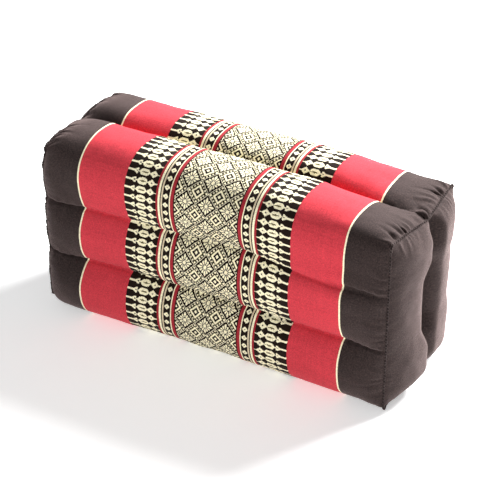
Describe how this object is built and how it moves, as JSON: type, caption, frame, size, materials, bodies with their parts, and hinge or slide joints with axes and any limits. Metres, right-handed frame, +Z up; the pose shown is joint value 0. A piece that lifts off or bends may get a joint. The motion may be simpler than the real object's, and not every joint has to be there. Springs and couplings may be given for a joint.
{
  "type": "meditation cushion",
  "caption": "Block-shaped meditation cushion of stuffed, sewn channels, standing on its long narrow side, with a banded woven wrap and plain end panels.",
  "frame": {"origin": "on the floor, under the middle of the cushion's box", "axes": "+X along the stuffed channels towards the right end, +Y from the front row of channels to the back row, +Z up"},
  "size_m": [0.3736, 0.1501, 0.182],
  "materials": {
    "wrap_cloth": "matt cotton, red with cream-on-black woven bands and charcoal at both ends",
    "end_cloth": "matt plain-weave charcoal cotton"
  },
  "bodies": {
    "root": {"filled_body": "wrap_cloth", "end_panel_right": "end_cloth", "end_panel_left": "end_cloth"}
  },
  "joints": []
}
